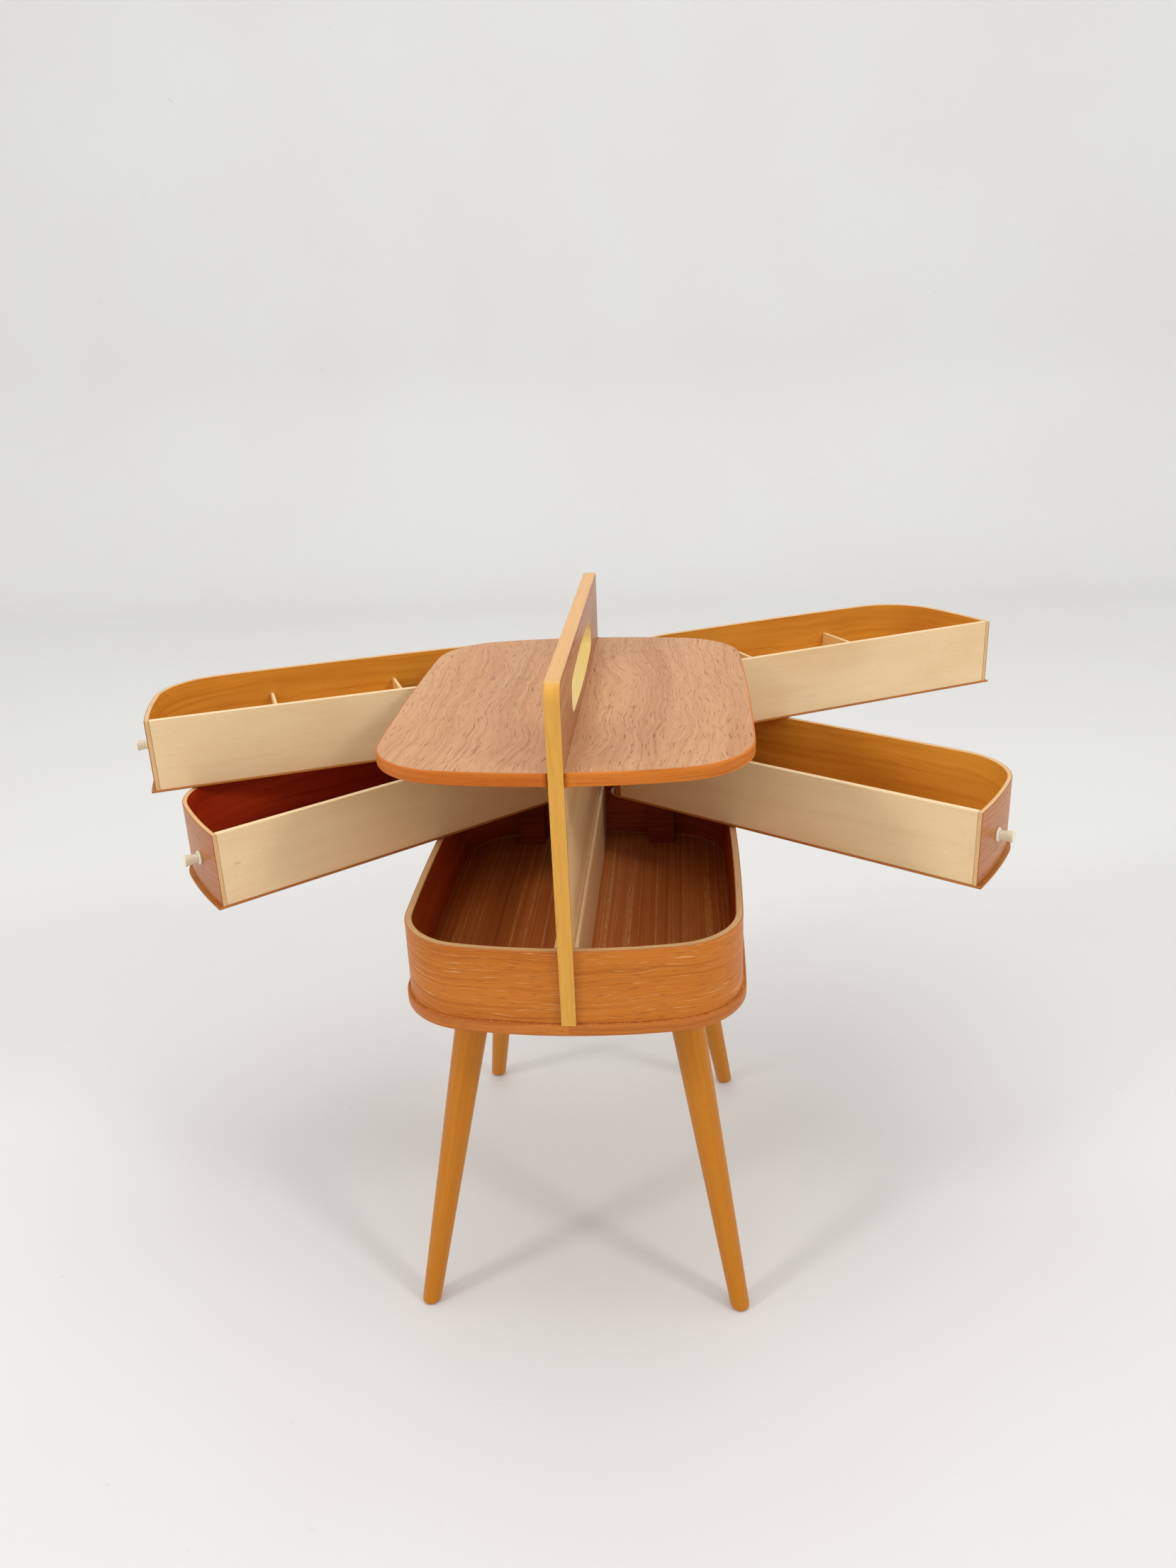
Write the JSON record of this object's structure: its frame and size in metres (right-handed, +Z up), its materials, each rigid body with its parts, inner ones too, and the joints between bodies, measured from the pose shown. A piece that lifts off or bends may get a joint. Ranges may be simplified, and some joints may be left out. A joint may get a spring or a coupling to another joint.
{
  "type": "sewing box",
  "caption": "Wooden sewing box on splayed legs, with swing-out trays on upright pivots, an open base and a central carrying handle.",
  "frame": {"origin": "on the floor, straight below the middle of the base board", "axes": "+X to the right, +Y to the rear, +Z up"},
  "size_m": [0.9199, 0.6444, 0.646],
  "materials": {
    "bent_teak_ply": "satin lacquer",
    "blonde_ply": "clear satin lacquer",
    "tray_bottom_ply": "satin",
    "dark_block": "satin",
    "ivory_plastic": "gloss",
    "steel": "brushed",
    "beech_leg": "satin lacquer",
    "honey_lipping": "satin lacquer",
    "pale_lining": "satin",
    "teak_top": "satin lacquer",
    "teak_board": "satin lacquer",
    "teak_base": "satin lacquer",
    "bent_teak_rim": "satin lacquer"
  },
  "bodies": {
    "frame": {"base_board": "teak_base", "base_liner_left": "blonde_ply", "base_liner_right": "blonde_ply", "base_rim_left": "bent_teak_rim", "base_rim_right": "bent_teak_rim", "base_screws": "steel", "centre_board": "teak_board", "front_edge_strip": "honey_lipping", "handle_slot_lining": "pale_lining", "leg_front_left": "beech_leg", "leg_front_right": "beech_leg", "leg_plate_screws": "steel", "leg_plates": "steel", "leg_rear_left": "beech_leg", "leg_rear_right": "beech_leg", "leg_studs": "steel", "pivot_post_left": "dark_block", "pivot_post_right": "dark_block", "pivot_rod_left": "steel", "pivot_rod_right": "steel", "pivot_washers": "steel", "rear_edge_strip": "honey_lipping", "top_board_left": "teak_top", "top_board_right": "teak_top", "top_dowels": "beech_leg", "top_edge_strip": "honey_lipping"},
    "tray_left_upper": {"tray_left_upper_bottom": "tray_bottom_ply", "tray_left_upper_divider_front": "blonde_ply", "tray_left_upper_divider_rear": "blonde_ply", "tray_left_upper_inner_wall": "blonde_ply", "tray_left_upper_knob": "ivory_plastic", "tray_left_upper_knob_rosette": "ivory_plastic", "tray_left_upper_knob_screw": "steel", "tray_left_upper_outer_wall": "bent_teak_ply", "tray_left_upper_pivot_block": "dark_block"},
    "tray_left_lower": {"tray_left_lower_bottom": "tray_bottom_ply", "tray_left_lower_inner_wall": "blonde_ply", "tray_left_lower_knob": "ivory_plastic", "tray_left_lower_knob_rosette": "ivory_plastic", "tray_left_lower_knob_screw": "steel", "tray_left_lower_outer_wall": "bent_teak_ply", "tray_left_lower_pivot_block": "dark_block"},
    "tray_right_upper": {"tray_right_upper_bottom": "tray_bottom_ply", "tray_right_upper_divider_front": "blonde_ply", "tray_right_upper_divider_rear": "blonde_ply", "tray_right_upper_inner_wall": "blonde_ply", "tray_right_upper_knob": "ivory_plastic", "tray_right_upper_knob_rosette": "ivory_plastic", "tray_right_upper_knob_screw": "steel", "tray_right_upper_outer_wall": "bent_teak_ply", "tray_right_upper_pivot_block": "dark_block"},
    "tray_right_lower": {"tray_right_lower_bottom": "tray_bottom_ply", "tray_right_lower_inner_wall": "blonde_ply", "tray_right_lower_knob": "ivory_plastic", "tray_right_lower_knob_rosette": "ivory_plastic", "tray_right_lower_knob_screw": "steel", "tray_right_lower_outer_wall": "bent_teak_ply", "tray_right_lower_pivot_block": "dark_block"}
  },
  "joints": [
    {"name": "tray_left_upper_swing", "type": "hinge", "parent": "frame", "child": "tray_left_upper", "pos_m": [-0.075, 0.187, 0.45], "axis": [0, 0, 1], "range_deg": [-52.4, 67.6]},
    {"name": "tray_left_lower_swing", "type": "hinge", "parent": "frame", "child": "tray_left_lower", "pos_m": [-0.075, 0.187, 0.45], "axis": [0, 0, 1], "range_deg": [-72.7, 47.3]},
    {"name": "tray_right_upper_swing", "type": "hinge", "parent": "frame", "child": "tray_right_upper", "pos_m": [0.075, 0.187, 0.45], "axis": [0, 0, 1], "range_deg": [-117.2, 2.8]},
    {"name": "tray_right_lower_swing", "type": "hinge", "parent": "frame", "child": "tray_right_lower", "pos_m": [0.075, 0.187, 0.45], "axis": [0, 0, 1], "range_deg": [-55, 65]}
  ]
}
